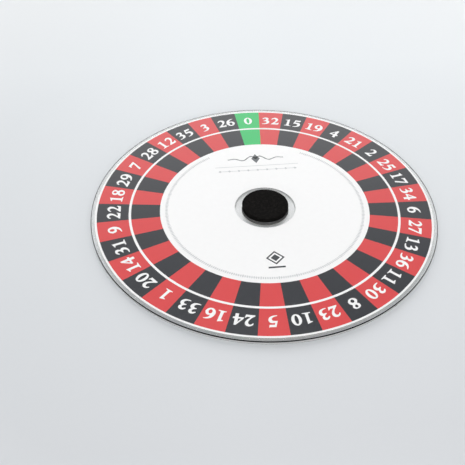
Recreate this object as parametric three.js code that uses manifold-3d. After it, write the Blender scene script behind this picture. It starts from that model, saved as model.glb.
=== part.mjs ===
// A roulette wheel printed on a compact disc, which turns on a foam hub button.
// Millimetres, +Z up. The origin lies on the table under the middle of the disc,
// and +Y points at the green zero pocket.

import * as THREE from 'three';
import { mergeVertices } from 'three/addons/utils/BufferGeometryUtils.js';
import Module from 'manifold-3d';

const wasm = await Module();
wasm.setup();

// Numbers clockwise round the wheel, seen from above, from the pocket at +Y
const wheelOrder = [
  0, 32, 15, 19, 4, 21, 2, 25, 17, 34, 6, 27, 13, 36, 11, 30, 8, 23, 10,
  5, 24, 16, 33, 1, 20, 14, 31, 9, 22, 18, 29, 7, 28, 12, 35, 3, 26,
];
const pocketCount = wheelOrder.length;
const pocketAngle = 2 * Math.PI / pocketCount;

// Facets of the round solids, whole numbers to a pocket so that their edges line up
const facetsPerPocket = 3;
const discFacets = pocketCount * facetsPerPocket;
const hubFacets = 40;

// Facets between two listed points of a digit's smooth run, and of one wave's length
const runSteps = 1;
const waveSteps = 12;

// Moulded disc
const discDiameter = 120;
const discThickness = 1.2;
const holeDiameter = 15;
const rimChamfer = 0.15;
const stackRingDiameter = 34.4;
const stackRingWidth = 1.4;
const stackRingCrest = 0.7;
const stackRingHeight = 0.2;
const grooveDiameter = 20.4;
const grooveWidth = 0.4;
const grooveDepth = 0.15;

// Metal and lacquer over it, both set in from the rim
const mirrorInnerDiameter = 38;
const mirrorRimMargin = 1.5;
const mirrorThickness = 0.02;
const lacquerRimMargin = 0.6;
const lacquerThickness = 0.05;
const layerClearance = 0.1;

// Screen-printed inks: the white base, the colours on it, and a white line on those
const printInnerDiameter = 21.2;
const whiteRimMargin = 1.38;
const whiteThickness = 0.03;
const inkThickness = 0.03;
const colourRimMargin = 2.1;
const numberBandWidth = 10.72;
const midLineWidth = 0.84;
const innerBandWidth = 9.83;
const printGap = 0.04;
const cutOverrun = 0.01;

// Numbers, knocked out of the colour so that the white base shows. A narrow bridge of
// colour holds the inside of each closed loop.
const digitWidth = 3.2;
const digitHeight = 4.56;
const digitGap = 0.36;
const numberRimGap = 3.4;
const bridgeWidth = 0.22;

// Fine print on the white centre: a ring of ticks that is open at the top, a waved
// flourish with a rule and a beaded line under it, and a framed lozenge over a bar
const tickLength = 1.2;
const tickWidth = 0.28;
const tickLineWidth = 0.16;
const tickInset = 1.65;
const tickOpening = Math.PI / 3;
const flourishInset = 8.8;
const flourishLength = 21;
const flourishStroke = 0.36;
const waveHeight = 3.4;
const waveCount = 3;
const flourishLozengeWidth = 3.2;
const flourishLozengeHeight = 5.4;
const ruleInset = 13.1;
const ruleLength = 31;
const ruleWidth = 0.22;
const beadInset = 15.6;
const beadLineLength = 29;
const beadSize = 1.2;
const beadCount = 9;
const motifInset = 11.3;
const motifSize = 6.2;
const motifStroke = 0.5;
const motifCoreSize = 3.1;
const motifBarInset = 7;
const motifBarLength = 5.6;
const motifBarWidth = 0.7;

// Foam hub button: a fat disc of foam pinched to a waist in the disc's hole. The disc's
// weight spreads its foot a little wider than its top.
const rideHeight = 0.65;
const hubLip = 0.6;
const hubFootLip = 0.75;
const hubRise = 1.7;
const hubEdgeRound = 0.6;
const waistClearance = 0.15;
const seatClearance = 0.05;
const adhesiveInset = 0.15;
const adhesiveThickness = 0.15;
const linerThickness = 0.1;

// Radii and heights worked out from the sizes above
const discRadius = discDiameter / 2;
const holeRadius = holeDiameter / 2;
const printInnerRadius = printInnerDiameter / 2;
const mirrorInnerRadius = mirrorInnerDiameter / 2;
const mirrorOuterRadius = discRadius - mirrorRimMargin;
const numberOuterRadius = discRadius - colourRimMargin;
const midLineOuterRadius = numberOuterRadius - numberBandWidth;
const midLineInnerRadius = midLineOuterRadius - midLineWidth;
const innerBandInnerRadius = midLineInnerRadius - innerBandWidth;
const digitRadius = numberOuterRadius - numberRimGap - digitHeight / 2;
const hubRadius = holeRadius + hubLip;
const footRadius = holeRadius + hubFootLip;

const discTop = rideHeight + discThickness;
const mirrorTop = discTop + mirrorThickness;
const lacquerTop = discTop + lacquerThickness;
const whiteTop = lacquerTop + whiteThickness;
const inkTop = whiteTop + inkThickness;
const foamBottom = linerThickness + adhesiveThickness;
const foamTop = discTop + hubRise;

// Outlines of the digits in shares of half a digit's width and height. Each digit is
// drawn as runs: a run is a smooth line, and where two runs meet there is a corner.
const ovalShare = (x, y, width, height, points) => Array.from({ length: points }, (_, i) => {
  const turn = 2 * Math.PI * i / points;
  return [x + width * Math.sin(turn), y + height * Math.cos(turn)];
});

const oneShares = [
  [[0.34, 1], [0.37, -0.58], [0.5, -0.78]],
  [[0.89, -0.87]],
  [[0.89, -1]],
  [[-0.72, -1]],
  [[-0.72, -0.87], [-0.37, -0.78], [-0.25, -0.58]],
  [[-0.25, 0.55]],
  [[-0.72, 0.61]],
  [[-0.72, 0.72]],
];
const twoShares = [
  [[-0.86, 0.47], [-0.64, 0.79], [-0.03, 1.02], [0.6, 0.87], [0.86, 0.46], [0.6, -0.05]],
  [[-0.02, -0.58], [0.6, -0.6]],
  [[0.9, -0.42]],
  [[1.06, -0.44]],
  [[0.86, -1]],
  [[-0.88, -1]],
  [[-0.88, -0.82], [-0.22, -0.36], [0.18, 0.09], [0.2, 0.42], [0, 0.63], [-0.36, 0.63]],
  [[-0.68, 0.38]],
];
const threeShares = [
  [[-0.86, 0.53], [-0.58, 0.84], [-0.04, 1], [0.52, 0.87], [0.7, 0.53]],
  [[0.46, 0.18], [0.82, -0.06], [0.88, -0.46], [0.47, -0.86], [-0.28, -1.03]],
  [[-0.87, -1]],
  [[-0.87, -0.88], [-0.14, -0.76], [0.2, -0.48], [0.06, -0.18]],
  [[-0.52, -0.18]],
  [[-0.52, -0.03], [-0.04, 0.2], [0.1, 0.46], [-0.2, 0.64]],
  [[-0.7, 0.42]],
];
const fourShares = [
  [[0.66, 1]],
  [[0.66, -0.12]],
  [[1.06, -0.12]],
  [[0.98, -0.44]],
  [[0.66, -0.44]],
  [[0.66, -1.03]],
  [[-0.01, -1.03]],
  [[-0.01, -0.44]],
  [[-1.06, -0.44]],
  [[-1.06, -0.23]],
  [[0.28, 1]],
];
const fourLoopShare = [[0.02, 0.42], [0.02, -0.15], [-0.56, -0.15]];
const fiveShares = [
  [[-0.53, 1]],
  [[0.72, 1]],
  [[0.88, 1.07]],
  [[0.72, 0.58]],
  [[-0.26, 0.58]],
  [[-0.36, 0.26], [0.24, 0.31], [0.72, 0.14], [0.92, -0.28], [0.64, -0.74], [-0.04, -1]],
  [[-0.82, -1.04]],
  [[-0.82, -0.92], [-0.12, -0.75], [0.26, -0.42], [0.1, -0.16], [-0.32, -0.08]],
  [[-0.86, -0.1]],
];
const sixShares = [
  [[0.86, 1.03], [0.04, 0.93], [-0.62, 0.62], [-0.99, 0.1], [-0.97, -0.48], [-0.54, -0.91],
    [0.04, -1.02], [0.64, -0.84], [1, -0.33], [0.74, 0.13], [0.28, 0.29]],
  [[-0.17, 0.21], [0.1, 0.62]],
  [[0.86, 0.92]],
];
const sevenShares = [
  [[-0.88, 0.98]],
  [[1.02, 0.98]],
  [[0.98, 0.8]],
  [[-0.12, -1.01]],
  [[-0.62, -0.97], [-0.4, -0.56], [0, 0]],
  [[0.42, 0.57]],
  [[-0.5, 0.57], [-0.66, 0.52]],
  [[-0.82, 0.36]],
  [[-1.01, 0.38]],
];
const eightShares = [
  [[-0.03, 1], [0.56, 0.88], [0.86, 0.55]],
  [[0.56, 0.14], [0.91, -0.2], [0.94, -0.56], [0.56, -0.9], [-0.03, -1.02], [-0.66, -0.9],
    [-1, -0.55], [-0.9, -0.22]],
  [[-0.58, 0.04], [-0.88, 0.34], [-0.84, 0.66], [-0.54, 0.89]],
];
const sixLoopShare = ovalShare(0.03, -0.38, 0.37, 0.36, 8);
const halfTurned = (points) => points.map(([x, y]) => [-x, -y]);

// Each bridge is a straight line in the same shares, from inside a loop to past the digit
const digitShares = [
  {
    runShares: [ovalShare(0, 0, 1, 1, 14)],
    loopShares: [ovalShare(-0.02, 0, 0.36, 0.74, 10)],
    bridgeShares: [[[-0.02, 0], [-0.02, 1.2]]],
  },
  { runShares: oneShares, loopShares: [], bridgeShares: [] },
  { runShares: twoShares, loopShares: [], bridgeShares: [] },
  { runShares: threeShares, loopShares: [], bridgeShares: [] },
  {
    runShares: fourShares,
    loopShares: [fourLoopShare],
    bridgeShares: [[[-0.1, 0.08], [-1, 0.08]]],
  },
  { runShares: fiveShares, loopShares: [], bridgeShares: [] },
  {
    runShares: sixShares,
    loopShares: [sixLoopShare],
    bridgeShares: [[[0.03, -0.38], [0.03, -1.2]]],
  },
  { runShares: sevenShares, loopShares: [], bridgeShares: [] },
  {
    runShares: eightShares,
    loopShares: [ovalShare(0, 0.52, 0.31, 0.25, 8), ovalShare(-0.01, -0.48, 0.38, 0.29, 8)],
    bridgeShares: [[[0, 0.52], [0, 1.2]], [[-0.01, -0.48], [-0.01, -1.2]]],
  },
  {
    runShares: sixShares.map(halfTurned),
    loopShares: [halfTurned(sixLoopShare)],
    bridgeShares: [[[-0.03, 0.38], [-0.03, 1.2]]],
  },
];

const group = new THREE.Group();

function place(name, geometry, material, height = 0, turn = 0) {
  const mesh = new THREE.Mesh(geometry, material);
  mesh.name = name;
  mesh.position.z = height;
  mesh.rotation.z = turn;
  group.add(mesh);
}

function finish(color, roughness, metalness = 0, opacity = 1) {
  return new THREE.MeshStandardMaterial({
    color, roughness, metalness, opacity, transparent: opacity < 1,
  });
}

// Solid turned about +Z from corners of [radius, height], anticlockwise in that plane
function turned(corners, facets) {
  const outline = corners.map(([radius, height]) => new THREE.Vector2(radius, height));
  if (outline[0].x > 0) outline.push(outline[0].clone());
  return new THREE.LatheGeometry(outline, facets).rotateX(Math.PI / 2);
}

function flatRing(innerRadius, outerRadius, bottom, top) {
  return turned([
    [innerRadius, bottom],
    [outerRadius, bottom],
    [outerRadius, top],
    [innerRadius, top],
  ], discFacets);
}

// Solid as thick as one print of ink, from an outline seen from above
function printed(points, overrun = 0) {
  const shape = new THREE.Shape(points.map(([x, y]) => new THREE.Vector2(x, y)));
  const depth = inkThickness + 2 * overrun;
  const geometry = new THREE.ExtrudeGeometry(shape, { depth, bevelEnabled: false });
  geometry.translate(0, 0, -overrun);
  geometry.deleteAttribute('normal');
  geometry.deleteAttribute('uv');
  const { attributes, index } = mergeVertices(geometry);
  return new wasm.Manifold(new wasm.Mesh({
    numProp: 3,
    vertProperties: attributes.position.array,
    triVerts: Uint32Array.from(index.array),
  }));
}

function geometryOf(solid) {
  const { vertProperties, triVerts } = solid.getMesh();
  const geometry = new THREE.BufferGeometry();
  geometry.setAttribute('position', new THREE.BufferAttribute(vertProperties, 3));
  geometry.setIndex(new THREE.BufferAttribute(triVerts, 1));
  return geometry.toNonIndexed();
}

// Outline of a line of the given width through points
function ribbon(points, width) {
  const side = (sign) => points.map(([x, y], index) => {
    const before = points[Math.max(index - 1, 0)];
    const after = points[Math.min(index + 1, points.length - 1)];
    const along = new THREE.Vector2(after[0] - before[0], after[1] - before[1]);
    along.setLength(sign * width / 2);
    return [x - along.y, y + along.x];
  });
  return [...side(1), ...side(-1).reverse()];
}

function lozenge(y, width, height, x = 0) {
  return [[x + width / 2, y], [x, y + height / 2], [x - width / 2, y], [x, y - height / 2]];
}

// Foam hub button, its adhesive and the liner that it stands on
function addHub() {
  const waist = holeRadius - waistClearance;
  const roundShare = 0.3;
  const foam = turned([
    [0, foamBottom],
    [footRadius, foamBottom],
    [footRadius, rideHeight - seatClearance],
    [waist, rideHeight - seatClearance],
    [waist, discTop + seatClearance],
    [hubRadius, discTop + seatClearance],
    [hubRadius, foamTop - hubEdgeRound],
    [hubRadius - hubEdgeRound * roundShare, foamTop - hubEdgeRound * roundShare],
    [hubRadius - hubEdgeRound, foamTop],
    [0, foamTop],
  ], hubFacets);
  const adhesive = turned([
    [0, linerThickness],
    [footRadius - adhesiveInset, linerThickness],
    [footRadius - adhesiveInset, foamBottom],
    [0, foamBottom],
  ], hubFacets);
  const liner = turned([
    [0, 0],
    [footRadius, 0],
    [footRadius, linerThickness],
    [0, linerThickness],
  ], hubFacets);
  place('foam_hub', foam, finish('#1a1817', 0.95));
  place('hub_adhesive', adhesive, finish('#d9d6c8', 0.5));
  place('release_liner', liner, finish('#efece2', 0.6));
}

// Clear disc with its hole, the stacking ridge below and a moulding groove on top
function addDisc() {
  const ridge = stackRingDiameter / 2;
  const groove = grooveDiameter / 2;
  const disc = turned([
    [holeRadius, rideHeight],
    [ridge - stackRingWidth / 2, rideHeight],
    [ridge - stackRingCrest / 2, rideHeight - stackRingHeight],
    [ridge + stackRingCrest / 2, rideHeight - stackRingHeight],
    [ridge + stackRingWidth / 2, rideHeight],
    [discRadius - rimChamfer, rideHeight],
    [discRadius, rideHeight + rimChamfer],
    [discRadius, discTop - rimChamfer],
    [discRadius - rimChamfer, discTop],
    [groove + grooveWidth / 2, discTop],
    [groove, discTop - grooveDepth],
    [groove - grooveWidth / 2, discTop],
    [holeRadius, discTop],
  ], discFacets);
  place('polycarbonate_disc', disc, finish('#dfe6ea', 0.08, 0, 0.4));
}

// Metal film under a lacquer that laps over both of its edges, the white base, and
// the white line that runs over the colours
function addLayers() {
  const mirror = flatRing(mirrorInnerRadius, mirrorOuterRadius, discTop, mirrorTop);
  const lacquer = turned([
    [printInnerRadius, discTop],
    [mirrorInnerRadius - layerClearance, discTop],
    [mirrorInnerRadius - layerClearance, mirrorTop],
    [mirrorOuterRadius + layerClearance, mirrorTop],
    [mirrorOuterRadius + layerClearance, discTop],
    [discRadius - lacquerRimMargin, discTop],
    [discRadius - lacquerRimMargin, lacquerTop],
    [printInnerRadius, lacquerTop],
  ], discFacets);
  const white = flatRing(printInnerRadius, discRadius - whiteRimMargin, lacquerTop, whiteTop);
  const line = flatRing(midLineInnerRadius, midLineOuterRadius, inkTop, inkTop + inkThickness);
  place('reflective_layer', mirror, finish('#d8dce0', 0.12, 1));
  place('protective_lacquer', lacquer, finish('#e8eef0', 0.15, 0, 0.5));
  place('white_base_print', white, finish('#fafafa', 0.35));
  place('mid_line_print', line, finish('#fafafa', 0.35));
}

// One pocket between two radii, trimmed by half the gap to each neighbour
function sectorPoints(innerRadius, outerRadius) {
  const arc = (radius) => {
    const half = pocketAngle / 2 - Math.asin(printGap / 2 / radius);
    const angles = [-half];
    for (let facet = 1; facet < facetsPerPocket; facet += 1) {
      angles.push(pocketAngle * (facet / facetsPerPocket - 0.5));
    }
    angles.push(half);
    return angles.map((angle) => [radius * Math.sin(angle), radius * Math.cos(angle)]);
  };
  return [...arc(outerRadius), ...arc(innerRadius).reverse()];
}

// Digit runs joined into one closed line of points
function joined(runs) {
  return runs.flatMap((run, index) => {
    const next = runs[(index + 1) % runs.length][0];
    const through = [...run, next].map(([x, y]) => new THREE.Vector2(x, y));
    return new THREE.SplineCurve(through).getPoints(run.length * runSteps).slice(0, -1);
  }).map(({ x, y }) => [x, y]);
}

// Pocket seen with its number upright and +Y towards the rim
function pocketSolid(number) {
  let pocket = printed(sectorPoints(innerBandInnerRadius, numberOuterRadius));
  const signs = [...String(number)].map(Number);
  signs.forEach((sign, index) => {
    const middle = (index - (signs.length - 1) / 2) * (digitWidth + digitGap);
    const onPocket = ([x, y]) => [middle + x * digitWidth / 2, digitRadius + y * digitHeight / 2];
    const { runShares, loopShares, bridgeShares } = digitShares[sign];
    let cut = printed(joined(runShares).map(onPocket), cutOverrun);
    for (const loop of loopShares) {
      cut = cut.subtract(printed(loop.map(onPocket), 2 * cutOverrun));
    }
    for (const bridge of bridgeShares) {
      cut = cut.subtract(printed(ribbon(bridge.map(onPocket), bridgeWidth), 2 * cutOverrun));
    }
    pocket = pocket.subtract(cut);
  });
  return pocket;
}

function addPockets() {
  const inks = {
    green: finish('#3fbf6c', 0.35),
    red: finish('#cf2f35', 0.35),
    black: finish('#26272a', 0.35),
  };
  const pocketColours = ['black', 'red'];
  wheelOrder.forEach((number, index) => {
    const colour = index === 0 ? 'green' : pocketColours[index % 2];
    const name = `pocket_${String(number).padStart(2, '0')}_${colour}`;
    const geometry = geometryOf(pocketSolid(number));
    place(name, geometry, inks[colour].clone(), whiteTop, -index * pocketAngle);
  });
}

// Line just inside the colours with a tick at each pocket's edge
function tickRing() {
  const outer = innerBandInnerRadius - tickInset;
  const middle = outer - tickLength / 2;
  const at = (radius, angle) => [radius * Math.sin(angle), radius * Math.cos(angle)];
  const angles = wheelOrder.map((_, index) => (index + 0.5) * pocketAngle);
  const kept = angles.filter((angle) => Math.cos(angle) < Math.cos(tickOpening / 2));
  let ring = printed(ribbon(kept.map((angle) => at(middle, angle)), tickLineWidth));
  for (const angle of kept) {
    const tick = [at(outer - tickLength, angle), at(outer, angle)];
    ring = ring.add(printed(ribbon(tick, tickWidth)));
  }
  return ring;
}

// Wave that runs out from a lozenge on both sides and dies away at its ends
function flourish() {
  const y = innerBandInnerRadius - flourishInset;
  const steps = waveSteps * waveCount;
  const wave = Array.from({ length: steps + 1 }, (_, index) => {
    const share = 2 * index / steps - 1;
    const height = Math.sin(share * waveCount * Math.PI) * Math.sign(share) * (1 - Math.abs(share));
    return [share * flourishLength / 2, y + height * waveHeight / 2];
  });
  return printed(ribbon(wave, flourishStroke))
    .add(printed(lozenge(y, flourishLozengeWidth, flourishLozengeHeight)));
}

function levelBar(y, length, width) {
  return printed(ribbon([[-length / 2, y], [length / 2, y]], width));
}

function beadedLine() {
  const y = innerBandInnerRadius - beadInset;
  let line = levelBar(y, beadLineLength, ruleWidth);
  for (let index = 0; index < beadCount; index += 1) {
    const x = (index / (beadCount - 1) - 0.5) * (beadLineLength - beadSize);
    line = line.add(printed(lozenge(y, beadSize, beadSize, x)));
  }
  return line;
}

function motifFrame(y) {
  const opening = motifSize - 2 * motifStroke * Math.SQRT2;
  return printed(lozenge(y, motifSize, motifSize))
    .subtract(printed(lozenge(y, opening, opening), cutOverrun));
}

function addFinePrint() {
  const rule = levelBar(innerBandInnerRadius - ruleInset, ruleLength, ruleWidth);
  const motif = motifInset - innerBandInnerRadius;
  const core = printed(lozenge(motif, motifCoreSize, motifCoreSize));
  const bar = levelBar(motifBarInset - innerBandInnerRadius, motifBarLength, motifBarWidth);
  const prints = [
    ['tick_ring_print', tickRing(), '#c4c8cb'],
    ['flourish_print', flourish(), '#63686b'],
    ['rule_print', rule, '#aab0b3'],
    ['beaded_line_print', beadedLine(), '#aab0b3'],
    ['motif_frame_print', motifFrame(motif), '#3a3e41'],
    ['motif_core_print', core, '#3a3e41'],
    ['motif_bar_print', bar, '#3a3e41'],
  ];
  for (const [name, solid, colour] of prints) {
    place(name, geometryOf(solid), finish(colour, 0.4), whiteTop);
  }
}

addHub();
addDisc();
addLayers();
addPockets();
addFinePrint();

export default group;
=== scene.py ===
import math

import bpy
from mathutils import Matrix, Vector, noise
from mathutils.geometry import tessellate_polygon


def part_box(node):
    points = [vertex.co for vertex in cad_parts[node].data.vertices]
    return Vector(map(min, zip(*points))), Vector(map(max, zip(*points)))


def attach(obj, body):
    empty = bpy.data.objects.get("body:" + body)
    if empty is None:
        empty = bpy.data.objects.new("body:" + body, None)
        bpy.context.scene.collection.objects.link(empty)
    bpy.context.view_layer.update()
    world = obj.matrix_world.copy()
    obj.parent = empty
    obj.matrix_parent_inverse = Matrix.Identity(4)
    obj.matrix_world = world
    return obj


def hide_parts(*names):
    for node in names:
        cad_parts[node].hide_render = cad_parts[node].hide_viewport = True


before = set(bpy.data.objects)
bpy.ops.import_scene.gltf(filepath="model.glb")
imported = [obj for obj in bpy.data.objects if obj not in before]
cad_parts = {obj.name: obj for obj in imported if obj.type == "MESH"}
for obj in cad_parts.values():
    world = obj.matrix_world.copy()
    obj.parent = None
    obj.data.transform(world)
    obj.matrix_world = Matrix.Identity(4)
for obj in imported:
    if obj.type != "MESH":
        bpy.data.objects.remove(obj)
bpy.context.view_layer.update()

# A disc printed as a roulette wheel turns on a foam hub button. It lies flat, its middle
# over the origin, with the green zero pocket towards +Y. Lengths are in metres, and
# colours are linear red, green and blue.
MM = 0.001

# Numbers clockwise round the wheel, seen from above, from the pocket at +Y
WHEEL_ORDER = (
    0, 32, 15, 19, 4, 21, 2, 25, 17, 34, 6, 27, 13, 36, 11, 30, 8, 23, 10,
    5, 24, 16, 33, 1, 20, 14, 31, 9, 22, 18, 29, 7, 28, 12, 35, 3, 26,
)
POCKET_ANGLE = 2 * math.pi / len(WHEEL_ORDER)

# Fineness of the meshes
POCKET_STEPS = 12
ROUND_STEPS = POCKET_STEPS * len(WHEEL_ORDER)
CURVE_STEPS = 8
ZERO_STEPS = 64
LOOP_STEPS = 40
ROUND_POINTS = 6
PROFILE_STEPS = 10
EASE_STEPS = 2
PLATE_EASE_STEPS = 3
WAVE_STEPS = 48
FOAM_STEPS = 288
FOAM_SPACING = 0.14 * MM
FLOOR_STEPS = 96
SHARP_ANGLE = math.radians(35)

# Each layer sinks this far into the one below it, so that no two faces lie in one plane
BOND = 0.004 * MM

# Clear disc. The dark line round the rim, a painted shade on its upper edge, is a little
# wider than the rim's rounding, so that no two rings of points lie on each other.
DISC_THICKNESS = 1.2 * MM
HOLE_RADIUS = 7.5 * MM
HOLE_ROUND = 0.08 * MM
RIM_ROUND = 0.2 * MM
RIM_EDGE_WIDTH = 0.22 * MM
RIM_EDGE_DEPTH = 0.4 * MM
STACK_RING_RADIUS = 17.2 * MM
STACK_RING_WIDTH = 1.4 * MM
STACK_RING_FULLNESS = 0.8
GROOVE_RADIUS = 10.2 * MM
GROOVE_WIDTH = 0.4 * MM
GROOVE_DEPTH = 0.02 * MM

# Layers on the disc
MIRROR_INNER_RADIUS = 19 * MM
LACQUER_LAP = 0.1 * MM
LAYER_EASE = 0.02 * MM
PRINT_INNER_RADIUS = 10.6 * MM
COLOUR_OUTER_RADIUS = 57.9 * MM
COLOUR_INNER_RADIUS = 36.51 * MM
MID_LINE_OUTER_RADIUS = 47.18 * MM
MID_LINE_INNER_RADIUS = 46.34 * MM

# Printed numbers
DIGIT_WIDTH = 3.2 * MM
DIGIT_HEIGHT = 4.56 * MM
DIGIT_PITCH = 3.56 * MM
DIGIT_RADIUS = 52.22 * MM

# Fine print on the white centre
TICK_LINE_RADIUS = 34.26 * MM
TICK_LINE_WIDTH = 0.1 * MM
TICK_LENGTH = 1.2 * MM
TICK_WIDTH = 0.34 * MM
MINOR_TICK_LENGTH = 0.95 * MM
MINOR_TICK_WIDTH = 0.3 * MM
MINOR_TICKS = 7
TICK_OPENING = math.pi / 3
FLOURISH_Y = 27.71 * MM
FLOURISH_LENGTH = 21 * MM
FLOURISH_STROKE = 0.36 * MM
FLOURISH_LOZENGE = (3.2 * MM, 5.4 * MM)
WAVE_HEIGHT = 3.4 * MM
WAVE_COUNT = 3
RULE_Y = 23.41 * MM
RULE_LENGTH = 31 * MM
RULE_WIDTH = 0.22 * MM
BEAD_LINE_Y = 20.91 * MM
BEAD_LINE_LENGTH = 29 * MM
BEAD_SIZE = 1.2 * MM
BEAD_COUNT = 9
MOTIF_Y = -25.21 * MM
MOTIF_SIZE = 6.2 * MM
MOTIF_STROKE = 0.5 * MM
MOTIF_CORE_SIZE = 3.1 * MM
MOTIF_BAR_Y = -29.51 * MM
MOTIF_BAR_LENGTH = 5.6 * MM
MOTIF_BAR_WIDTH = 0.7 * MM

# Stroke of the flourish, in shares of FLOURISH_STROKE: the part that stays the same, the
# part that is left at the ends, and how strongly and how often it pulses
STROKE_CORE = 0.5
STROKE_END = 0.35
STROKE_PULSE = 0.4
STROKE_PULSES = 6

# Foam hub button. CELL_REACH, how far a cell's pit goes from its middle, is in shares of
# CELL_SIZE.
WAIST_RADIUS = 7.35 * MM
SEAT_CLEARANCE = 0.05 * MM
PINCH_ROUND = 0.12 * MM
LIP_RADIUS = 8.1 * MM
FOAM_SIDE_HOLLOW = 0.12 * MM
FOAM_SIDE_ROUND = 0.5 * MM
FOAM_EDGE_ROUND = 0.65 * MM
FOAM_WAVE_LENGTH = 3.1 * MM
FOAM_WAVE_DEPTH = 0.07 * MM
CELL_SIZE = 0.42 * MM
CELL_DEPTH = 0.07 * MM
CELL_REACH = 0.55

# Inks
WHITE = (0.945, 0.947, 0.949)
GREEN = (0.025, 0.54, 0.145)
RED = (0.70, 0.046, 0.05)
BLACK = (0.0115, 0.0145, 0.0215)
LIGHT_GREY = (0.6, 0.615, 0.63)
MID_GREY = (0.125, 0.138, 0.148)
DARK_GREY = (0.042, 0.048, 0.054)
INK_IOR = 1.6
INK_ROUGHNESS = (0.175, 0.205)
INK_MOTTLE = 0.01
INK_MOTTLE_SIZE = 1.6 * MM
INK_GRAIN_SHADE = 0.975
INK_GRAIN_SHARE = 0.5
INK_GRAIN_SIZE = 0.22 * MM
INK_GRAIN_DEPTH = 0.003 * MM

# Clear plastic and lacquer
PLASTIC_TINT = (0.99, 0.995, 0.995)
PLASTIC_IOR = 1.585
FROSTED_TINT = (0.62, 0.62, 0.62)
# Near-black tint of the rim's upper edge: painted shade for the dark that the edge shows
PAINTED_EDGE_SHADE_TINT = (0.012, 0.0125, 0.0135)
EDGE_IOR = 1.2
LACQUER_TINT = (0.98, 0.985, 0.98)
LACQUER_IOR = 1.5
HAZE_SIZE = 6 * MM
HAZE_UNEVENNESS = 0.4

# Metal film: how many fans of colour go round, the scale that sets its duller bands 8 mm
# apart, and the colours along one fan, from 0 to 1. The fans are a painted reflection of the
# colours that its tracks split light into.
FAN_COUNT = 2
FILM_BAND_SCALE = 40
FILM_ROUGHNESS = (0.08, 0.14)
PAINTED_RAINBOW_COLOURS = (
    (0.00, (0.86, 0.87, 0.89)), (0.20, (0.84, 0.85, 0.88)), (0.27, (0.62, 0.50, 0.90)),
    (0.33, (0.35, 0.62, 0.95)), (0.39, (0.40, 0.86, 0.66)), (0.45, (0.88, 0.90, 0.42)),
    (0.51, (0.95, 0.58, 0.38)), (0.57, (0.90, 0.55, 0.66)), (0.66, (0.85, 0.85, 0.88)),
    (1.00, (0.86, 0.87, 0.89)),
)
BARE_METAL = (0.83, 0.84, 0.86)
BARE_METAL_SHARE = (0.3, 0.5)

# Foam. Its fine cells go from pit to wall over a range in shares of their size, and dust
# lies where its noise is within its range. The pits are darker with painted shade.
PAINTED_PIT_SHADE = (0.0018, 0.0017, 0.0017)
CELL_WALL_BLACK = (0.0082, 0.0077, 0.0074)
CELL_WALL_RANGE = (0.1, 0.75)
FINE_CELL_SIZE = 0.22 * MM
FINE_CELL_DEPTH = 0.05 * MM
FOAM_ROUGHNESS = (0.98, 0.88)
DUST_GREY = (0.024, 0.0215, 0.02)
DUST_SHARE = 0.45
DUST_RANGE = (0.48, 0.72)
DUST_SIZE = 0.9 * MM

# Adhesive and liner
ADHESIVE_COLOURS = ((0.62, 0.59, 0.49), (0.74, 0.71, 0.61))
ADHESIVE_ROUGHNESS = (0.35, 0.55)
LUMP_SIZE = 0.7 * MM
LUMP_DEPTH = 0.02 * MM
PAPER_COLOURS = ((0.79, 0.77, 0.70), (0.87, 0.855, 0.80))
PAPER_ROUGHNESS = (0.42, 0.6)
FIBRE_SIZE = 0.6 * MM
FIBRE_STRETCH = 3.2
FIBRE_DEPTH = 0.01 * MM

# Table, with the range of places over which each of its shades sets in. Paler to the back is
# painted sheen of the light behind. Paler under the hub is painted light from the clear plastic
# above, and darker just before the hub is a painted shadow of the foam. TABLE_FORWARD is
# the direction that the range of that painted shadow is measured in.
FLOOR_RADII = (0.05, 0.15, 0.4, 1.2, 6.0)
TABLE_FRONT = (0.69, 0.71, 0.735)
# Paler colour to the back: painted sheen of the light behind
TABLE_BACK_SHEEN = (0.85, 0.885, 0.91)
TABLE_BACK_SHEEN_RANGE = (-90 * MM, 100 * MM)
TABLE_LEFT = (0.5, 0.52, 0.54)
TABLE_LEFT_SHARE = 0.28
TABLE_LEFT_RANGE = (-120 * MM, -20 * MM)
TABLE_FAR_OUT = (0.97, 0.975, 0.98)
TABLE_FAR_OUT_RANGE = (110 * MM, 320 * MM)
# Painted light under the hub, for light that comes through the clear plastic
TABLE_PAINTED_HUB_LIGHT = (0.96, 0.97, 0.975)
TABLE_PAINTED_HUB_LIGHT_RANGE = (12 * MM, 20 * MM)
# Painted shadow of the foam, just in front of the hub
TABLE_PAINTED_HUB_SHADOW = (0.5, 0.52, 0.54)
TABLE_PAINTED_HUB_SHADOW_RANGE = (5 * MM, 7.6 * MM)
TABLE_FORWARD = (-0.2, -0.98, 0)
TABLE_FLECK = (0.5, 0.52, 0.55)
TABLE_FLECK_SHARE = 0.02
TABLE_GRAIN_SIZE = 1.2 * MM
TABLE_GRAIN_DEPTH = 0.02 * MM
TABLE_ROUGHNESS = (0.7, 0.85)

# Light of the room. An edge, top or sill is the range over which a light sets in or ends,
# along one axis of the direction that it comes from, from -1 to 1. The lamp's edge is in
# angles from its middle.
ROOM_STRENGTH = 0.55
SIDE_STRENGTH = 0.17
SIDE_EDGE = (0.3, 0.8)
WINDOW_STRENGTH = 2.0
WINDOW_EDGE = (0.5, 0.8)
WINDOW_TOP = (0.42, 0.78)
WINDOW_SILL = (0.26, 0.5)
WINDOW_SILL_SHARE = 0.3
WALL_STRENGTH = 0.75
WALL_EDGE = (-0.6, -0.3)
WALL_TOP = (0.75, 0.95)
LAMP_STRENGTH = 7.5
LAMP_ELEVATION = math.radians(68)
LAMP_EDGE = (math.radians(14), math.radians(6))
CEILING_STRENGTH = 0.4
CEILING_EDGE = (0.85, 1.0)
HORIZON_STRENGTH = 0.88
HORIZON_EDGE = (0.15, 0.3)

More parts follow.
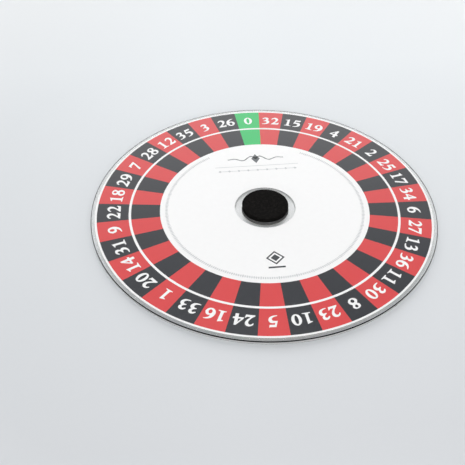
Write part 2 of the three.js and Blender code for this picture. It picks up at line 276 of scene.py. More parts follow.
# Camera: its place, and the directions of its right and its top
CAMERA_PLACE = (-0.0321, -0.20254, 0.18101)
CAMERA_RIGHT = (0.9904, -0.1346, 0.0322)
CAMERA_UP = (0.0686, 0.6792, 0.7307)
SENSOR_WIDTH = 36
LENS = 60.25
SHIFT = -0.0779
CLIP_START = 0.01

# The middle of what a noise gives, leaving out its rare low and high values
NOISE_MIDDLE = (0.3, 0.7)

# Digits in shares of half a digit's width and height. Each is drawn as runs: a run is a
# smooth line, and where two runs meet there is a corner.
ONE = (
    ((0.34, 1), (0.37, -0.58), (0.5, -0.78)),
    ((0.89, -0.87),),
    ((0.89, -1),),
    ((-0.72, -1),),
    ((-0.72, -0.87), (-0.37, -0.78), (-0.25, -0.58)),
    ((-0.25, 0.55),),
    ((-0.72, 0.61),),
    ((-0.72, 0.72),),
)
TWO = (
    ((-0.86, 0.47), (-0.64, 0.79), (-0.03, 1.02), (0.6, 0.87), (0.86, 0.46), (0.6, -0.05)),
    ((-0.02, -0.58), (0.6, -0.6)),
    ((0.9, -0.42),),
    ((1.06, -0.44),),
    ((0.86, -1),),
    ((-0.88, -1),),
    ((-0.88, -0.82), (-0.22, -0.36), (0.18, 0.09), (0.2, 0.42), (0, 0.63), (-0.36, 0.63)),
    ((-0.68, 0.38),),
)
THREE = (
    ((-0.86, 0.53), (-0.58, 0.84), (-0.04, 1), (0.52, 0.87), (0.7, 0.53)),
    ((0.46, 0.18), (0.82, -0.06), (0.88, -0.46), (0.47, -0.86), (-0.28, -1.03)),
    ((-0.87, -1),),
    ((-0.87, -0.88), (-0.14, -0.76), (0.2, -0.48), (0.06, -0.18)),
    ((-0.52, -0.18),),
    ((-0.52, -0.03), (-0.04, 0.2), (0.1, 0.46), (-0.2, 0.64)),
    ((-0.7, 0.42),),
)
FOUR = tuple((point,) for point in (
    (0.66, 1), (0.66, -0.12), (1.06, -0.12), (0.98, -0.44), (0.66, -0.44), (0.66, -1.03),
    (-0.01, -1.03), (-0.01, -0.44), (-1.06, -0.44), (-1.06, -0.23), (0.28, 1),
))
FOUR_LOOP = ((0.02, 0.42), (0.02, -0.15), (-0.56, -0.15))
FIVE = (
    ((-0.53, 1),),
    ((0.72, 1),),
    ((0.88, 1.07),),
    ((0.72, 0.58),),
    ((-0.26, 0.58),),
    ((-0.36, 0.26), (0.24, 0.31), (0.72, 0.14), (0.92, -0.28), (0.64, -0.74), (-0.04, -1)),
    ((-0.82, -1.04),),
    ((-0.82, -0.92), (-0.12, -0.75), (0.26, -0.42), (0.1, -0.16), (-0.32, -0.08)),
    ((-0.86, -0.1),),
)
SIX = (
    ((0.86, 1.03), (0.04, 0.93), (-0.62, 0.62), (-0.99, 0.1), (-0.97, -0.48), (-0.54, -0.91),
     (0.04, -1.02), (0.64, -0.84), (1, -0.33), (0.74, 0.13), (0.28, 0.29)),
    ((-0.17, 0.21), (0.1, 0.62)),
    ((0.86, 0.92),),
)
SEVEN = (
    ((-0.88, 0.98),),
    ((1.02, 0.98),),
    ((0.98, 0.8),),
    ((-0.12, -1.01),),
    ((-0.62, -0.97), (-0.4, -0.56), (0, 0)),
    ((0.42, 0.57),),
    ((-0.5, 0.57), (-0.66, 0.52)),
    ((-0.82, 0.36),),
    ((-1.01, 0.38),),
)
EIGHT = (
    ((-0.03, 1), (0.56, 0.88), (0.86, 0.55)),
    ((0.56, 0.14), (0.91, -0.2), (0.94, -0.56), (0.56, -0.9), (-0.03, -1.02), (-0.66, -0.9),
     (-1, -0.55), (-0.9, -0.22)),
    ((-0.58, 0.04), (-0.88, 0.34), (-0.84, 0.66), (-0.54, 0.89)),
)


# Outlines

def oval(x, y, width, height, steps=LOOP_STEPS):
    """Points round an oval of the given half width and half height."""
    turns = (2 * math.pi * step / steps for step in range(steps))
    return [(x + width * math.sin(turn), y + height * math.cos(turn)) for turn in turns]


def smooth_through(points):
    """Points of a smooth line through the given ones, without the last."""
    line = []
    for index in range(len(points) - 1):
        before = points[max(index - 1, 0)]
        here = points[index]
        there = points[index + 1]
        after = points[min(index + 2, len(points) - 1)]
        for step in range(CURVE_STEPS):
            t = step / CURVE_STEPS
            line.append(tuple(
                (2 * t ** 3 - 3 * t ** 2 + 1) * here[axis]
                + (t ** 3 - 2 * t ** 2 + t) * (there[axis] - before[axis]) / 2
                + (3 * t ** 2 - 2 * t ** 3) * there[axis]
                + (t ** 3 - t ** 2) * (after[axis] - here[axis]) / 2
                for axis in (0, 1)
            ))
    return line


def joined(runs):
    """Runs joined into one closed outline."""
    outline = []
    for index, run in enumerate(runs):
        following = runs[(index + 1) % len(runs)][0]
        if len(run) == 1:
            outline.append(run[0])
        else:
            outline += smooth_through([*run, following])
    return outline


def half_turned(points):
    return [(-x, -y) for x, y in points]


# Outline of each digit from 0 to 9, with the outlines of its closed loops
SIX_OUTLINE = joined(SIX)
SIX_LOOP = oval(0.03, -0.38, 0.37, 0.36)
DIGITS = (
    (oval(0, 0, 1, 1, ZERO_STEPS), (oval(-0.02, 0, 0.36, 0.74),)),
    (joined(ONE), ()),
    (joined(TWO), ()),
    (joined(THREE), ()),
    (joined(FOUR), (FOUR_LOOP,)),
    (joined(FIVE), ()),
    (SIX_OUTLINE, (SIX_LOOP,)),
    (joined(SEVEN), ()),
    (joined(EIGHT), (oval(0, 0.52, 0.31, 0.25), oval(-0.01, -0.48, 0.38, 0.29))),
    (half_turned(SIX_OUTLINE), (half_turned(SIX_LOOP),)),
)


def at(radius, angle):
    """Point at a radius and an angle clockwise from +Y, seen from above."""
    return radius * math.sin(angle), radius * math.cos(angle)


def clockwise(points, angle):
    """Points turned clockwise about the wheel's axis, seen from above."""
    cosine, sine = math.cos(angle), math.sin(angle)
    return [(x * cosine + y * sine, y * cosine - x * sine) for x, y in points]


def lozenge(y, width, height):
    return [(width / 2, y), (0, y + height / 2), (-width / 2, y), (0, y - height / 2)]


def bar(y, length, width):
    right, above = length / 2, width / 2
    return [(-right, y - above), (right, y - above), (right, y + above), (-right, y + above)]


def is_anticlockwise(outline):
    area = 0
    for (ax, ay), (bx, by) in zip(outline, outline[1:] + outline[:1]):
        area += ax * by - bx * ay
    return area > 0


# Places and sizes from the frame

def top_of(node):
    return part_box(node)[1].z


def bottom_of(node):
    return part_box(node)[0].z


def radius_of(node):
    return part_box(node)[1].y


def disc_underside():
    """Height of the disc's flat underside. The stacking ring goes lower."""
    return top_of("polycarbonate_disc") - DISC_THICKNESS


# Meshes

def mesh_object(name, points, faces):
    """Object with smooth faces and sharp edges where its surface turns hard."""
    mesh = bpy.data.meshes.new(name)
    mesh.from_pydata(points, [], faces)
    mesh.validate()
    mesh.shade_smooth()
    mesh.set_sharp_from_angle(angle=SHARP_ANGLE)
    made = bpy.data.objects.new(name, mesh)
    bpy.context.scene.collection.objects.link(made)
    by_area = made.modifiers.new("normals_by_area", "WEIGHTED_NORMAL")
    by_area.keep_sharp = True
    return made


def turned(name, corners, steps=ROUND_STEPS):
    """Solid turned about +Z from corners of (radius, height), anticlockwise."""
    points = []
    rings = []
    for radius, height in corners:
        start = len(points)
        if radius == 0:
            points.append((0, 0, height))
            rings.append([start] * steps)
        else:
            turns = (2 * math.pi * step / steps for step in range(steps))
            points += [(radius * math.cos(t), radius * math.sin(t), height) for t in turns]
            rings.append(list(range(start, start + steps)))
    faces = []
    for lower, upper in zip(rings, rings[1:] + rings[:1]):
        for step in range(steps):
            after = (step + 1) % steps
            corners_round = (lower[step], lower[after], upper[after], upper[step])
            face = list(dict.fromkeys(corners_round))
            if len(face) > 2:
                faces.append(face)
    return mesh_object(name, points, faces)


def rounded(corners, radii, steps=ROUND_POINTS - 1):
    """Corners of (radius, height), with those that have a rounding replaced by a curve."""
    line = []
    for index, (corner, radius) in enumerate(zip(corners, radii)):
        if radius == 0:
            line.append(corner)
            continue
        here = Vector(corner)
        start = here + (Vector(corners[index - 1]) - here).normalized() * radius
        end = here + (Vector(corners[(index + 1) % len(corners)]) - here).normalized() * radius
        for step in range(steps + 1):
            t = step / steps
            point = start * (1 - t) ** 2 + here * 2 * t * (1 - t) + end * t ** 2
            line.append(tuple(point))
    return line


def flat_ring(name, inner, outer, bottom, top):
    """Ring with its two upper edges eased by a third of its height."""
    ease = (top - bottom) / 3
    corners = [(inner, bottom), (outer, bottom), (outer, top), (inner, top)]
    return turned(name, rounded(corners, (0, 0, ease, ease), EASE_STEPS))


def printed(name, shapes, bottom, top):
    """Flat print. Each shape is an outline, followed by the outlines of its holes."""
    points = []
    faces = []
    for outlines in shapes:
        start = len(points)
        flat = [point for outline in outlines for point in outline]
        for x, y in flat:
            points += [(x, y, bottom), (x, y, top)]
        rings = [[Vector((x, y, 0)) for x, y in outline] for outline in outlines]
        for a, b, c in tessellate_polygon(rings):
            (ax, ay), (bx, by), (cx, cy) = flat[a], flat[b], flat[c]
            if (bx - ax) * (cy - ay) < (cx - ax) * (by - ay):
                b, c = c, b
            faces.append((start + 2 * a + 1, start + 2 * b + 1, start + 2 * c + 1))
            faces.append((start + 2 * a, start + 2 * c, start + 2 * b))
        first = 0
        for place, outline in enumerate(outlines):
            outward = is_anticlockwise(outline) == (place == 0)
            for step in range(len(outline)):
                here = start + 2 * (first + step)
                there = start + 2 * (first + (step + 1) % len(outline))
                wall = (here, there, there + 1, here + 1)
                faces.append(wall if outward else wall[::-1])
            first += len(outline)
    return mesh_object(name, points, faces)


# Materials

def add_node(tree, kind, inputs=None, **settings):
    """Node with its settings, and with a value or a link on each named input."""
    made = tree.nodes.new("ShaderNode" + kind)
    for key, value in settings.items():
        setattr(made, key, value)
    for key, value in (inputs or {}).items():
        if isinstance(value, bpy.types.NodeSocket):
            tree.links.new(value, made.inputs[key])
        else:
            made.inputs[key].default_value = value
    return made


def new_material(name):
    """Material with its node tree, and the places on its object."""
    material = bpy.data.materials.new(name)
    material.use_nodes = True
    tree = material.node_tree
    tree.nodes.clear()
    places = add_node(tree, "TexCoord").outputs["Object"]
    return material, tree, places


def show(tree, shader):
    """Makes a shader the material's surface."""
    add_node(tree, "OutputMaterial", {"Surface": shader})


def noise_of(tree, places, size, detail=2.0):
    """Soft noise with patches of about the given size."""
    inputs = {"Vector": places, "Scale": 1 / size, "Detail": detail}
    return add_node(tree, "TexNoise", inputs).outputs["Fac"]


def spread(tree, value, low, high, source=NOISE_MIDDLE):
    """Value from low to high as the given one goes through its source range."""
    inputs = {0: value, 1: source[0], 2: source[1], 3: low, 4: high}
    return add_node(tree, "MapRange", inputs).outputs[0]


def math_of(tree, operation, *values):
    """Result of an operation on values or value links."""
    return add_node(tree, "Math", dict(enumerate(values)), operation=operation).outputs[0]


def along_direction(tree, places, direction):
    """How far each place lies in a direction."""
    inputs = {0: places, 1: direction}
    return add_node(tree, "VectorMath", inputs, operation="DOT_PRODUCT").outputs["Value"]


def blended(tree, factor, first, second):
    """Colour between two colours or colour links."""
    inputs = {0: factor, 6: first, 7: second}
    for key in (6, 7):
        if not isinstance(inputs[key], bpy.types.NodeSocket):
            inputs[key] = (*inputs[key], 1)
    return add_node(tree, "Mix", inputs, data_type="RGBA").outputs[2]


def shaded(colour, share):
    """Colour made darker or lighter."""
    return tuple(min(channel * share, 1) for channel in colour)


def bumped(tree, height, distance, strength=1.0):
    inputs = {"Height": height, "Distance": distance, "Strength": strength}
    return add_node(tree, "Bump", inputs).outputs["Normal"]


def ink(name, colour):
    """Screen-printed ink: satin, very slightly mottled, with the grain of its mesh."""
    material, tree, places = new_material(name)
    patches = noise_of(tree, places, INK_MOTTLE_SIZE, detail=3)
    grain = noise_of(tree, places, INK_GRAIN_SIZE)
    darker = shaded(colour, 1 - INK_MOTTLE)
    lighter = shaded(colour, 1 + INK_MOTTLE)
    base = blended(tree, spread(tree, patches, 0, 1), darker, lighter)
    base = blended(tree, spread(tree, grain, 0, INK_GRAIN_SHARE), base,
                   shaded(colour, INK_GRAIN_SHADE))
    shader = add_node(tree, "BsdfPrincipled", {
        "Base Color": base,
        "Roughness": spread(tree, patches, *INK_ROUGHNESS),
        "IOR": INK_IOR,
        "Normal": bumped(tree, grain, INK_GRAIN_DEPTH, strength=0.5),
    })
    show(tree, shader.outputs[0])
    return material


def clear(name, colour, ior, roughness, clarity):
    """Clear material that lets light from lamps and from the room straight through.

    What it lacks in clarity is a milky haze.
    """
    material, tree, places = new_material(name)
    haze = noise_of(tree, places, HAZE_SIZE)
    smoothest = roughness * (1 - HAZE_UNEVENNESS)
    roughest = roughness * (1 + HAZE_UNEVENNESS)
    shader = add_node(tree, "BsdfPrincipled", {
        "Base Color": (*colour, 1),
        "Roughness": spread(tree, haze, smoothest, roughest),
        "IOR": ior,
        "Transmission Weight": clarity,
    })
    path = add_node(tree, "LightPath").outputs
    lighting = math_of(tree, "MAXIMUM", path["Is Shadow Ray"], path["Is Diffuse Ray"])
    open_way = add_node(tree, "BsdfTransparent", {"Color": (*colour, 1)}).outputs[0]
    mixed = add_node(tree, "MixShader", {0: lighting, 1: shader.outputs[0], 2: open_way})
    show(tree, mixed.outputs[0])
    return material


def mirror_film():
    """Metal film over fine circular tracks, with the fans of colour that they split light into
    painted on as a fixed reflection.
    """
    material, tree, places = new_material("mirror_film")
    # Painted reflection: fans of rainbow colour fixed round the film, for light split by its
    # tracks
    around = add_node(tree, "TexGradient", {"Vector": places}, gradient_type="RADIAL")
    turns = math_of(tree, "MULTIPLY", around.outputs["Fac"], FAN_COUNT)
    painted_rainbow = add_node(tree, "ValToRGB", {0: math_of(tree, "FRACT", turns)})
    ramp = painted_rainbow.color_ramp
    while len(ramp.elements) < len(PAINTED_RAINBOW_COLOURS):
        ramp.elements.new(0.5)
    for element, (place, colour) in zip(ramp.elements, PAINTED_RAINBOW_COLOURS):
        element.position = place
        element.color = (*colour, 1)
    bands = add_node(tree, "TexWave", {
        "Vector": places,
        "Scale": FILM_BAND_SCALE,
        "Distortion": 0,
        "Detail": 0,
    }, wave_type="RINGS", rings_direction="Z").outputs["Fac"]
    paling = spread(tree, bands, *BARE_METAL_SHARE, (0, 1))
    shader = add_node(tree, "BsdfPrincipled", {
        "Base Color": blended(tree, paling, painted_rainbow.outputs[0], BARE_METAL),
        "Metallic": 1,
        "Roughness": spread(tree, bands, *FILM_ROUGHNESS, (0, 1)),
        "Anisotropic": 0.6,
        "Tangent": add_node(tree, "Tangent", direction_type="RADIAL", axis="Z").outputs[0],
    })
    show(tree, shader.outputs[0])
    return material


def black_foam():
    """Closed-cell foam, cut through its cells: dull, with painted shade in its pits that leaves
    the cell walls paler, and dust.
    """
    material, tree, places = new_material("black_foam")
    cells = add_node(tree, "TexVoronoi", {"Vector": places, "Scale": 1 / FINE_CELL_SIZE})
    pits = cells.outputs["Distance"]
    dust = noise_of(tree, places, DUST_SIZE, detail=4)
    # Painted shade in the cells' pits, paler on their walls
    base = blended(tree, spread(tree, pits, 0, 1, CELL_WALL_RANGE), PAINTED_PIT_SHADE, CELL_WALL_BLACK)
    base = blended(tree, spread(tree, dust, 0, DUST_SHARE, DUST_RANGE), base, DUST_GREY)
    shader = add_node(tree, "BsdfPrincipled", {
        "Base Color": base,
        "Roughness": spread(tree, pits, *FOAM_ROUGHNESS, (0, 0.8)),
        "Specular IOR Level": 0.06,
        "Normal": bumped(tree, pits, FINE_CELL_DEPTH, strength=0.6),
    })
    show(tree, shader.outputs[0])
    return material


def adhesive():
    """Sticky film, slightly hazy and uneven."""
    material, tree, places = new_material("adhesive")
    lumps = noise_of(tree, places, LUMP_SIZE, detail=3)
    shader = add_node(tree, "BsdfPrincipled", {
        "Base Color": blended(tree, spread(tree, lumps, 0, 1), *ADHESIVE_COLOURS),
        "Roughness": spread(tree, lumps, *ADHESIVE_ROUGHNESS),
        "Normal": bumped(tree, lumps, LUMP_DEPTH, strength=0.5),
    })
    show(tree, shader.outputs[0])
    return material


def liner_paper():
    """Siliconed paper, with fibres under its gloss."""
    material, tree, places = new_material("liner_paper")
    inputs = {"Vector": places, "Scale": (1, FIBRE_STRETCH, 1)}
    squeezed = add_node(tree, "Mapping", inputs).outputs[0]
    fibres = noise_of(tree, squeezed, FIBRE_SIZE, detail=5)
    shader = add_node(tree, "BsdfPrincipled", {
        "Base Color": blended(tree, spread(tree, fibres, 0, 1), *PAPER_COLOURS),
        "Roughness": spread(tree, fibres, *PAPER_ROUGHNESS),
        "Normal": bumped(tree, fibres, FIBRE_DEPTH, strength=0.4),
    })
    show(tree, shader.outputs[0])
    return material


def table_top():
    """Smooth pale table: paler far out, darker to the left, and paler to the back as painted
    sheen.

    Under the hub it is paler as painted light, and just in front of it darker as painted shadow.
    """
    material, tree, places = new_material("table_top")
    axes = add_node(tree, "SeparateXYZ", {0: places})
    distance = add_node(tree, "VectorMath", {0: places}, operation="LENGTH").outputs["Value"]
    forward = along_direction(tree, places, TABLE_FORWARD)
    # Paler to the back: painted sheen of the light behind
    painted_back_sheen = spread(tree, axes.outputs["Y"], 0, 1, TABLE_BACK_SHEEN_RANGE)
    to_left = spread(tree, axes.outputs["X"], TABLE_LEFT_SHARE, 0, TABLE_LEFT_RANGE)
    far_out = spread(tree, distance, 0, 1, TABLE_FAR_OUT_RANGE)
    # Painted light under the hub, with a painted shadow of the foam just in front of it
    painted_hub_light = spread(tree, distance, 1, 0, TABLE_PAINTED_HUB_LIGHT_RANGE)
    painted_hub_shadow = spread(tree, forward, 0, 1, TABLE_PAINTED_HUB_SHADOW_RANGE)
    grain = noise_of(tree, places, TABLE_GRAIN_SIZE, detail=4)
    base = blended(tree, painted_back_sheen, TABLE_FRONT, TABLE_BACK_SHEEN)
    base = blended(tree, to_left, base, TABLE_LEFT)
    base = blended(tree, far_out, base, TABLE_FAR_OUT)
    painted_hub_light_and_shadow = blended(tree, painted_hub_shadow, TABLE_PAINTED_HUB_LIGHT, TABLE_PAINTED_HUB_SHADOW)
    base = blended(tree, painted_hub_light, base, painted_hub_light_and_shadow)
    base = blended(tree, spread(tree, grain, 0, TABLE_FLECK_SHARE), base, TABLE_FLECK)
    shader = add_node(tree, "BsdfPrincipled", {
        "Base Color": base,
        "Roughness": spread(tree, grain, *TABLE_ROUGHNESS),
        "Specular IOR Level": 0.15,
        "Normal": bumped(tree, grain, TABLE_GRAIN_DEPTH, strength=0.2),
    })
    show(tree, shader.outputs[0])
    return material


# Pieces

def piece(made, body, node, material):
    """Puts a piece on its body in the place of a node and material."""
    made.data.materials.append(material)
    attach(made, body)
    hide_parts(node)
    return made


def dip(middle, width, depth, height, fullness=1.0):
    """Points across a band that dips in its middle, from the inside out.

    It makes a ridge on a lower face and a groove in an upper one.
    """
    points = []
    for step in range(PROFILE_STEPS + 1):
        t = step / PROFILE_STEPS
        drop = depth * math.sin(math.pi * t) ** fullness
        points.append((middle + (t - 0.5) * width, height - drop))
    return points


def clear_disc():
    """Moulded disc: rounded rim, stacking ring below and a moulding groove on top."""
    underside = disc_underside()
    top = top_of("polycarbonate_disc")
    outer = radius_of("polycarbonate_disc")
    corners = [
        (HOLE_RADIUS, underside), (outer, underside), (outer, top - RIM_EDGE_DEPTH),
        (outer, top), (outer - RIM_EDGE_WIDTH, top), (HOLE_RADIUS, top),
    ]
    line = rounded(corners, (HOLE_ROUND, RIM_ROUND, 0, RIM_ROUND, 0, HOLE_ROUND))
    ring_depth = underside - bottom_of("polycarbonate_disc")
    ring = dip(STACK_RING_RADIUS, STACK_RING_WIDTH, ring_depth, underside, STACK_RING_FULLNESS)
    groove = dip(GROOVE_RADIUS, GROOVE_WIDTH, GROOVE_DEPTH, top)[::-1]
    rim = line[ROUND_POINTS:-ROUND_POINTS]
    outline = line[:ROUND_POINTS] + ring + rim + groove + line[-ROUND_POINTS:]
    return turned("clear_disc", outline)


def finish_rim(disc, wall, edge):
    """Gives the disc's rim a frosted wall and a dark line of painted shade along its upper edge.
    """
    wall_slot, edge_slot = 1, 2
    disc.data.materials.append(wall)
    disc.data.materials.append(edge)
    outer = radius_of("polycarbonate_disc")
    top = top_of("polycarbonate_disc")
    for polygon in disc.data.polygons:
        corners = [disc.data.vertices[corner].co for corner in polygon.vertices]
        innermost = min(corner.xy.length for corner in corners)
        lowest = min(corner.z for corner in corners)
        if innermost > outer - RIM_EDGE_WIDTH - BOND and lowest > top - RIM_EDGE_DEPTH - BOND:
            polygon.material_index = edge_slot
        elif innermost > outer - BOND:
            polygon.material_index = wall_slot


def lacquer_coat():
    """Lacquer that laps over both edges of the metal film."""
    low = top_of("polycarbonate_disc") - BOND
    step_up = top_of("reflective_layer") - BOND
    top = top_of("protective_lacquer")
    outer = radius_of("protective_lacquer")
    over_inner = MIRROR_INNER_RADIUS - LACQUER_LAP
    over_outer = radius_of("reflective_layer") + LACQUER_LAP
    corners = [
        (PRINT_INNER_RADIUS, low), (over_inner, low), (over_inner, step_up),
        (over_outer, step_up), (over_outer, low), (outer, low), (outer, top),
        (PRINT_INNER_RADIUS, top),
    ]
    radii = (0, 0, 0, 0, 0, 0, LAYER_EASE, LAYER_EASE)
    return turned("lacquer_coat", rounded(corners, radii, EASE_STEPS))


def layer_ring(name, node, inner, outer):
    """Ring that stands for a node of a thin layer, sunk into the layer below."""
    return flat_ring(name, inner, outer, bottom_of(node) - BOND, top_of(node))


def add_disc():
    """The disc and the layers on it, from the clear plastic up to the white line."""
    plastic = clear("clear_plastic", PLASTIC_TINT, PLASTIC_IOR, roughness=0.03, clarity=0.92)
    disc = piece(clear_disc(), "wheel", "polycarbonate_disc", plastic)
    frosted = clear("frosted_wall", FROSTED_TINT, PLASTIC_IOR, roughness=0.35, clarity=0.12)
    # Painted shade: a near-black finish on the rim's upper edge, for the dark line that it shows
    painted_edge_shade = clear("painted_edge_shade", PAINTED_EDGE_SHADE_TINT, EDGE_IOR, roughness=0.2, clarity=0.3)
    finish_rim(disc, frosted, painted_edge_shade)
    film = layer_ring("mirror_film", "reflective_layer",
                      MIRROR_INNER_RADIUS, radius_of("reflective_layer"))
    piece(film, "wheel", "reflective_layer", mirror_film())
    coat = clear("lacquer", LACQUER_TINT, LACQUER_IOR, roughness=0.06, clarity=0.95)
    piece(lacquer_coat(), "wheel", "protective_lacquer", coat)
    white = ink("white_ink", WHITE)
    base = layer_ring("white_base", "white_base_print",
                      PRINT_INNER_RADIUS, radius_of("white_base_print"))
    piece(base, "wheel", "white_base_print", white)
    line = layer_ring("mid_line", "mid_line_print", MID_LINE_INNER_RADIUS, MID_LINE_OUTER_RADIUS)
    piece(line, "wheel", "mid_line_print", white)


def on_pocket(points, middle):
    """A digit's points, from shares to their place on the pocket at +Y."""
    return [
        (middle + x * DIGIT_WIDTH / 2, DIGIT_RADIUS + y * DIGIT_HEIGHT / 2)
        for x, y in points
    ]


def pocket_shapes(number):
    """One pocket's colour with its number knocked out, the number upright at +Y."""
    half = POCKET_ANGLE / 2
    angles = [POCKET_ANGLE * step / POCKET_STEPS - half for step in range(POCKET_STEPS + 1)]
    outer = [at(COLOUR_OUTER_RADIUS, angle) for angle in angles]
    inner = [at(COLOUR_INNER_RADIUS, angle) for angle in reversed(angles)]
    shape = [outer + inner]
    islands = []
    signs = [int(sign) for sign in str(number)]
    for index, sign in enumerate(signs):
        middle = (index - (len(signs) - 1) / 2) * DIGIT_PITCH
        outline, loops = DIGITS[sign]
        shape.append(on_pocket(outline, middle))
        islands += [[on_pocket(loop, middle)] for loop in loops]
    return [shape, *islands]


def add_pockets():
    """The 37 patches of colour, the green one at +Y."""
    inks = {
        "green": ink("green_ink", GREEN),
        "red": ink("red_ink", RED),
        "black": ink("black_ink", BLACK),
    }
    for index, number in enumerate(WHEEL_ORDER):
        colour = "green" if index == 0 else ("black", "red")[index % 2]
        node = f"pocket_{number:02d}_{colour}"
        shapes = [
            [clockwise(outline, index * POCKET_ANGLE) for outline in shape]
            for shape in pocket_shapes(number)
        ]
        made = printed("ink_" + node, shapes, bottom_of(node) - BOND, top_of(node))
        piece(made, "wheel", node, inks[colour])


def tick_ring_shapes():
    """Line with long ticks at the pockets' edges and short ones between, open at the top."""
    outer_side = []
    inner_side = []
    between = POCKET_ANGLE / (MINOR_TICKS + 1)
    count = len(WHEEL_ORDER) * (MINOR_TICKS + 1)
    for index in range(count):
        angle = POCKET_ANGLE / 2 + index * between
        if math.cos(angle) >= math.cos(TICK_OPENING / 2):
            continue
        major = index % (MINOR_TICKS + 1) == 0
        reach = (TICK_LENGTH if major else MINOR_TICK_LENGTH) / 2
        half_turn = (TICK_WIDTH if major else MINOR_TICK_WIDTH) / 2 / TICK_LINE_RADIUS
        for side, sign in ((outer_side, 1), (inner_side, -1)):
            line = TICK_LINE_RADIUS + sign * TICK_LINE_WIDTH / 2
            tip = TICK_LINE_RADIUS + sign * reach
            side += [at(line, angle - half_turn), at(tip, angle - half_turn)]
            side += [at(tip, angle + half_turn), at(line, angle + half_turn)]
    return [[outer_side + inner_side[::-1]]]


def stroke_share(place):
    """Width of the wave's stroke at a place from 0, its middle, to its ends, -1 and 1.

    It is in shares of FLOURISH_STROKE.
    """
    pulse = 1 - STROKE_PULSE + STROKE_PULSE * math.cos(2 * math.pi * STROKE_PULSES * place)
    swell = STROKE_END + (1 - STROKE_END) * (1 - abs(place)) * pulse
    return STROKE_CORE + swell


def flourish_wave():
    """Outline of a wave whose stroke swells in the middle and thins to its ends."""
    steps = WAVE_STEPS * WAVE_COUNT
    shares = [2 * step / steps - 1 for step in range(steps + 1)]
    middle = []
    for share in shares:
        swing = math.sin(share * WAVE_COUNT * math.pi) * math.copysign(1 - abs(share), share)
        middle.append(Vector((share * FLOURISH_LENGTH / 2, FLOURISH_Y + swing * WAVE_HEIGHT / 2)))
    upper = []
    lower = []
    for index, (point, share) in enumerate(zip(middle, shares)):
        along = middle[min(index + 1, steps)] - middle[max(index - 1, 0)]
        half_stroke = FLOURISH_STROKE / 2 * stroke_share(share)
        reach = along.orthogonal().normalized() * half_stroke
        upper.append(tuple(point + reach))
        lower.append(tuple(point - reach))
    return upper + lower[::-1]


def beaded_line():
    """Thin line with lozenges strung along it."""
    half_line = RULE_WIDTH / 2
    half_bead = BEAD_SIZE / 2
    ends = BEAD_LINE_LENGTH / 2
    foot = half_bead - half_line
    above = [(-ends, half_line)]
    for index in range(BEAD_COUNT):
        x = (index / (BEAD_COUNT - 1) - 0.5) * (BEAD_LINE_LENGTH - BEAD_SIZE)
        above += [(x - foot, half_line), (x, half_bead), (x + foot, half_line)]
    above.append((ends, half_line))
    below = [(x, -y) for x, y in reversed(above)]
    return [(x, BEAD_LINE_Y + y) for x, y in above + below]


def add_fine_print():
    """The small grey prints on the white centre."""
    light = ink("light_grey_ink", LIGHT_GREY)
    middle = ink("mid_grey_ink", MID_GREY)
    dark = ink("dark_grey_ink", DARK_GREY)
    opening = MOTIF_SIZE - 2 * MOTIF_STROKE * math.sqrt(2)
    frame_shape = [lozenge(MOTIF_Y, MOTIF_SIZE, MOTIF_SIZE), lozenge(MOTIF_Y, opening, opening)]
    core = lozenge(MOTIF_Y, MOTIF_CORE_SIZE, MOTIF_CORE_SIZE)
    motif_bar = bar(MOTIF_BAR_Y, MOTIF_BAR_LENGTH, MOTIF_BAR_WIDTH)
    flourish = [[flourish_wave()], [lozenge(FLOURISH_Y, *FLOURISH_LOZENGE)]]
    prints = (
        ("tick_ring", tick_ring_shapes(), "light_grey_ink", light),
        ("flourish", flourish, "mid_grey_ink", middle),
        ("rule", [[bar(RULE_Y, RULE_LENGTH, RULE_WIDTH)]], "light_grey_ink", light),
        ("beaded_line", [[beaded_line()]], "light_grey_ink", light),
        ("motif_frame", [frame_shape], "dark_grey_ink", dark),
        ("motif_core", [[core]], "dark_grey_ink", dark),
        ("motif_bar", [[motif_bar]], "dark_grey_ink", dark),
    )
    for name, shapes, slot, material in prints:
        node = name + "_print"
        made = printed("ink_" + name, shapes, bottom_of(node) - BOND, top_of(node))
        piece(made, "wheel", node, material)


def divided(corners):
    """Open line of (radius, height) with points no further apart than the foam's."""
    line = []
    for start, end in zip(corners, corners[1:]):
        first, last = Vector(start), Vector(end)
        count = max(1, math.ceil((last - first).length / FOAM_SPACING))
        line += [tuple(first.lerp(last, step / count)) for step in range(count)]
    line.append(corners[-1])
    return line


def foam_depth(place):
    """How far the foam's cut face lies below its outline at a place: cells and slow waves."""
    nearest = noise.voronoi(place / CELL_SIZE)[0][0]
    pit = max(0, CELL_REACH - nearest) / CELL_REACH
    wave = 0.5 + 0.5 * noise.noise(place / FOAM_WAVE_LENGTH)
    return CELL_DEPTH * pit + FOAM_WAVE_DEPTH * wave


def foam_button():
    """Foam button pinched in the disc's hole, its cut faces pitted by open cells."""
    bottom = bottom_of("foam_hub")
    top = top_of("foam_hub")
    foot = radius_of("foam_hub")
    seat_low = disc_underside() - SEAT_CLEARANCE
    seat_high = top_of("polycarbonate_disc") + SEAT_CLEARANCE
    hollow = LIP_RADIUS - FOAM_SIDE_HOLLOW
    corners = [
        (0, bottom), (foot, bottom), (foot, seat_low), (WAIST_RADIUS, seat_low),
        (WAIST_RADIUS, seat_high), (LIP_RADIUS, seat_high), (hollow, (seat_high + top) / 2),
        (LIP_RADIUS, top), (0, top),
    ]
    radii = (0, 0, *[PINCH_ROUND] * 4, FOAM_SIDE_ROUND, FOAM_EDGE_ROUND, 0)
    made = turned("foam_button", divided(rounded(corners, radii)), FOAM_STEPS)
    normals = [vertex.normal.copy() for vertex in made.data.vertices]
    for vertex, normal in zip(made.data.vertices, normals):
        in_hole = seat_low - BOND < vertex.co.z < seat_high + BOND
        resting = vertex.co.z < bottom + BOND
        if not in_hole and not resting:
            vertex.co = vertex.co - normal * foam_depth(vertex.co)
    return made


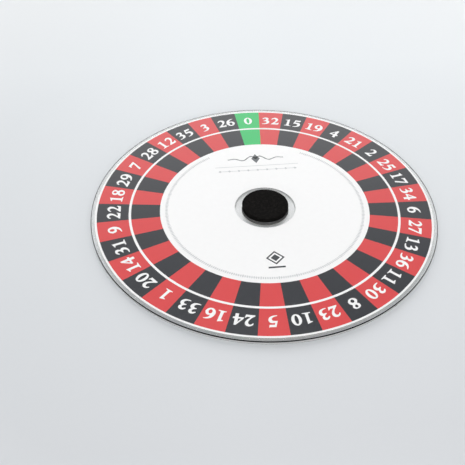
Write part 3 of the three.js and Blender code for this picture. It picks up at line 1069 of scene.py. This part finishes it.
def eased_plate(name, radius, bottom, top):
    """Round plate with its edges eased."""
    corners = [(0, bottom), (radius, bottom), (radius, top), (0, top)]
    return turned(name, rounded(corners, (0, LAYER_EASE, LAYER_EASE, 0), PLATE_EASE_STEPS))


def add_hub():
    """The foam button, with its adhesive and the liner that it stands on."""
    button = piece(foam_button(), "hub", "foam_hub", black_foam())
    liner = eased_plate("liner", radius_of("release_liner"), bottom_of("release_liner"),
                        top_of("release_liner"))
    piece(liner, "hub", "release_liner", liner_paper())
    glue = eased_plate("adhesive_film", radius_of("hub_adhesive"),
                       bottom_of("hub_adhesive") - BOND, top_of("hub_adhesive") + BOND)
    piece(glue, "hub", "hub_adhesive", adhesive())


# Room

def add_floor():
    """Round table top, far wider than the wheel."""
    turns = [2 * math.pi * step / FLOOR_STEPS for step in range(FLOOR_STEPS)]
    points = [(0, 0, 0)]
    faces = []
    for radius in FLOOR_RADII:
        points += [(radius * math.cos(turn), radius * math.sin(turn), 0) for turn in turns]
    for step in range(FLOOR_STEPS):
        after = (step + 1) % FLOOR_STEPS
        faces.append((0, 1 + step, 1 + after))
        for ring in range(len(FLOOR_RADII) - 1):
            low, high = 1 + ring * FLOOR_STEPS, 1 + (ring + 1) * FLOOR_STEPS
            faces.append((low + step, high + step, high + after, low + after))
    floor = mesh_object("floor", points, faces)
    floor.data.materials.append(table_top())


def light_room():
    """Soft white room: a wide low window behind, a lamp high up behind, a pale wall in front.

    The sides are dim, the ceiling glows faintly, and the horizon is pale all round.
    """
    world = bpy.data.worlds.new("room")
    bpy.context.scene.world = world
    world.use_nodes = True
    tree = world.node_tree
    tree.nodes.clear()
    toward = add_node(tree, "TexCoord").outputs["Generated"]
    right, back, up = add_node(tree, "SeparateXYZ", {0: toward}).outputs
    window = math_of(tree, "MULTIPLY", spread(tree, up, 1, 0, WINDOW_TOP),
                     spread(tree, back, 0, WINDOW_STRENGTH, WINDOW_EDGE))
    window = math_of(tree, "MULTIPLY", window,
                     spread(tree, up, WINDOW_SILL_SHARE, 1, WINDOW_SILL))
    wall = math_of(tree, "MULTIPLY", spread(tree, up, 1, 0, WALL_TOP),
                   spread(tree, back, WALL_STRENGTH, 0, WALL_EDGE))
    lamp_direction = (0, math.cos(LAMP_ELEVATION), math.sin(LAMP_ELEVATION))
    aside = along_direction(tree, toward, lamp_direction)
    lamp_edge = [math.cos(angle) for angle in LAMP_EDGE]
    lamp = spread(tree, aside, 0, LAMP_STRENGTH, lamp_edge)
    ceiling = spread(tree, up, 0, CEILING_STRENGTH, CEILING_EDGE)
    beside = math_of(tree, "ABSOLUTE", right)
    total = spread(tree, beside, ROOM_STRENGTH, SIDE_STRENGTH, SIDE_EDGE)
    for light in (window, wall, lamp, ceiling):
        total = math_of(tree, "ADD", total, light)
    horizon = spread(tree, up, HORIZON_STRENGTH, 0, HORIZON_EDGE)
    total = math_of(tree, "MAXIMUM", total, horizon)
    glow = add_node(tree, "Background", {"Color": (1, 1, 1, 1), "Strength": total})
    add_node(tree, "OutputWorld", {"Surface": glow.outputs[0]})


def add_camera():
    """Camera at the photograph's place, angle and framing."""
    right = Vector(CAMERA_RIGHT).normalized()
    up = Vector(CAMERA_UP)
    up = (up - right * up.dot(right)).normalized()
    back = right.cross(up)
    data = bpy.data.cameras.new("camera")
    data.sensor_width = SENSOR_WIDTH
    data.lens = LENS
    data.shift_x = SHIFT
    data.clip_start = CLIP_START
    camera = bpy.data.objects.new("camera", data)
    bpy.context.scene.collection.objects.link(camera)
    turn = Matrix((right, up, back)).transposed().to_4x4()
    camera.matrix_world = Matrix.Translation(CAMERA_PLACE) @ turn
    bpy.context.scene.camera = camera


add_hub()
add_disc()
add_pockets()
add_fine_print()
add_floor()
light_room()
add_camera()
bpy.context.scene.view_settings.view_transform = "Standard"
